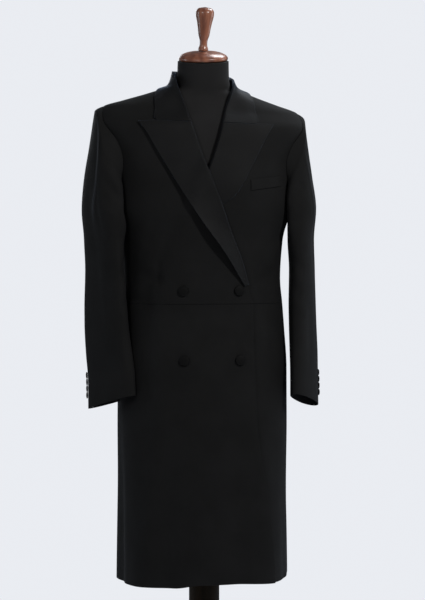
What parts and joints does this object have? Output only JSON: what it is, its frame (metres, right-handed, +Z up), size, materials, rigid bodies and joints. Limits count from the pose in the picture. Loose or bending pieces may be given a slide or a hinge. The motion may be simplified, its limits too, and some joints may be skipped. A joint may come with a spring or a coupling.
{
  "type": "double-breasted long coat on a dress form stand",
  "caption": "Knee-length double-breasted wool coat with peaked lapels and a waist seam, worn by a limbless dress form on a round-based wooden stand.",
  "frame": {"origin": "centre of the base's underside, on the floor under the column", "axes": "+Z up; the coat faces -Y; +X is the wearer's left and the viewer's right"},
  "size_m": [0.5379, 0.38, 1.7043],
  "materials": {
    "black_wool": "fine black wool, matt with a soft sheen",
    "lapel_cloth": "black wool with a cool satin sheen",
    "covered_button": "button covered in black cloth",
    "form_jersey": "matt black jersey",
    "mahogany": "polished reddish wood",
    "dark_wood": "polished dark brown wood"
  },
  "bodies": {
    "root": {"forepart_right": "black_wool", "side_body_right": "black_wool", "back_right": "black_wool", "skirt_right": "black_wool", "top_sleeve_right": "black_wool", "under_sleeve_right": "black_wool", "lapel_right": "lapel_cloth", "forepart_left": "black_wool", "side_body_left": "black_wool", "back_left": "black_wool", "skirt_left": "black_wool", "top_sleeve_left": "black_wool", "under_sleeve_left": "black_wool", "lapel_left": "lapel_cloth", "collar": "lapel_cloth", "breast_welt": "black_wool", "front_button_1": "covered_button", "front_button_2": "covered_button", "front_button_3": "covered_button", "front_button_4": "covered_button", "cuff_button_right_1": "covered_button", "cuff_button_right_2": "covered_button", "cuff_button_right_3": "covered_button", "cuff_button_right_4": "covered_button", "cuff_button_left_1": "covered_button", "cuff_button_left_2": "covered_button", "cuff_button_left_3": "covered_button", "cuff_button_left_4": "covered_button", "form_torso": "form_jersey", "neck_cap": "mahogany", "finial": "mahogany", "column": "dark_wood", "base": "dark_wood"}
  },
  "joints": []
}
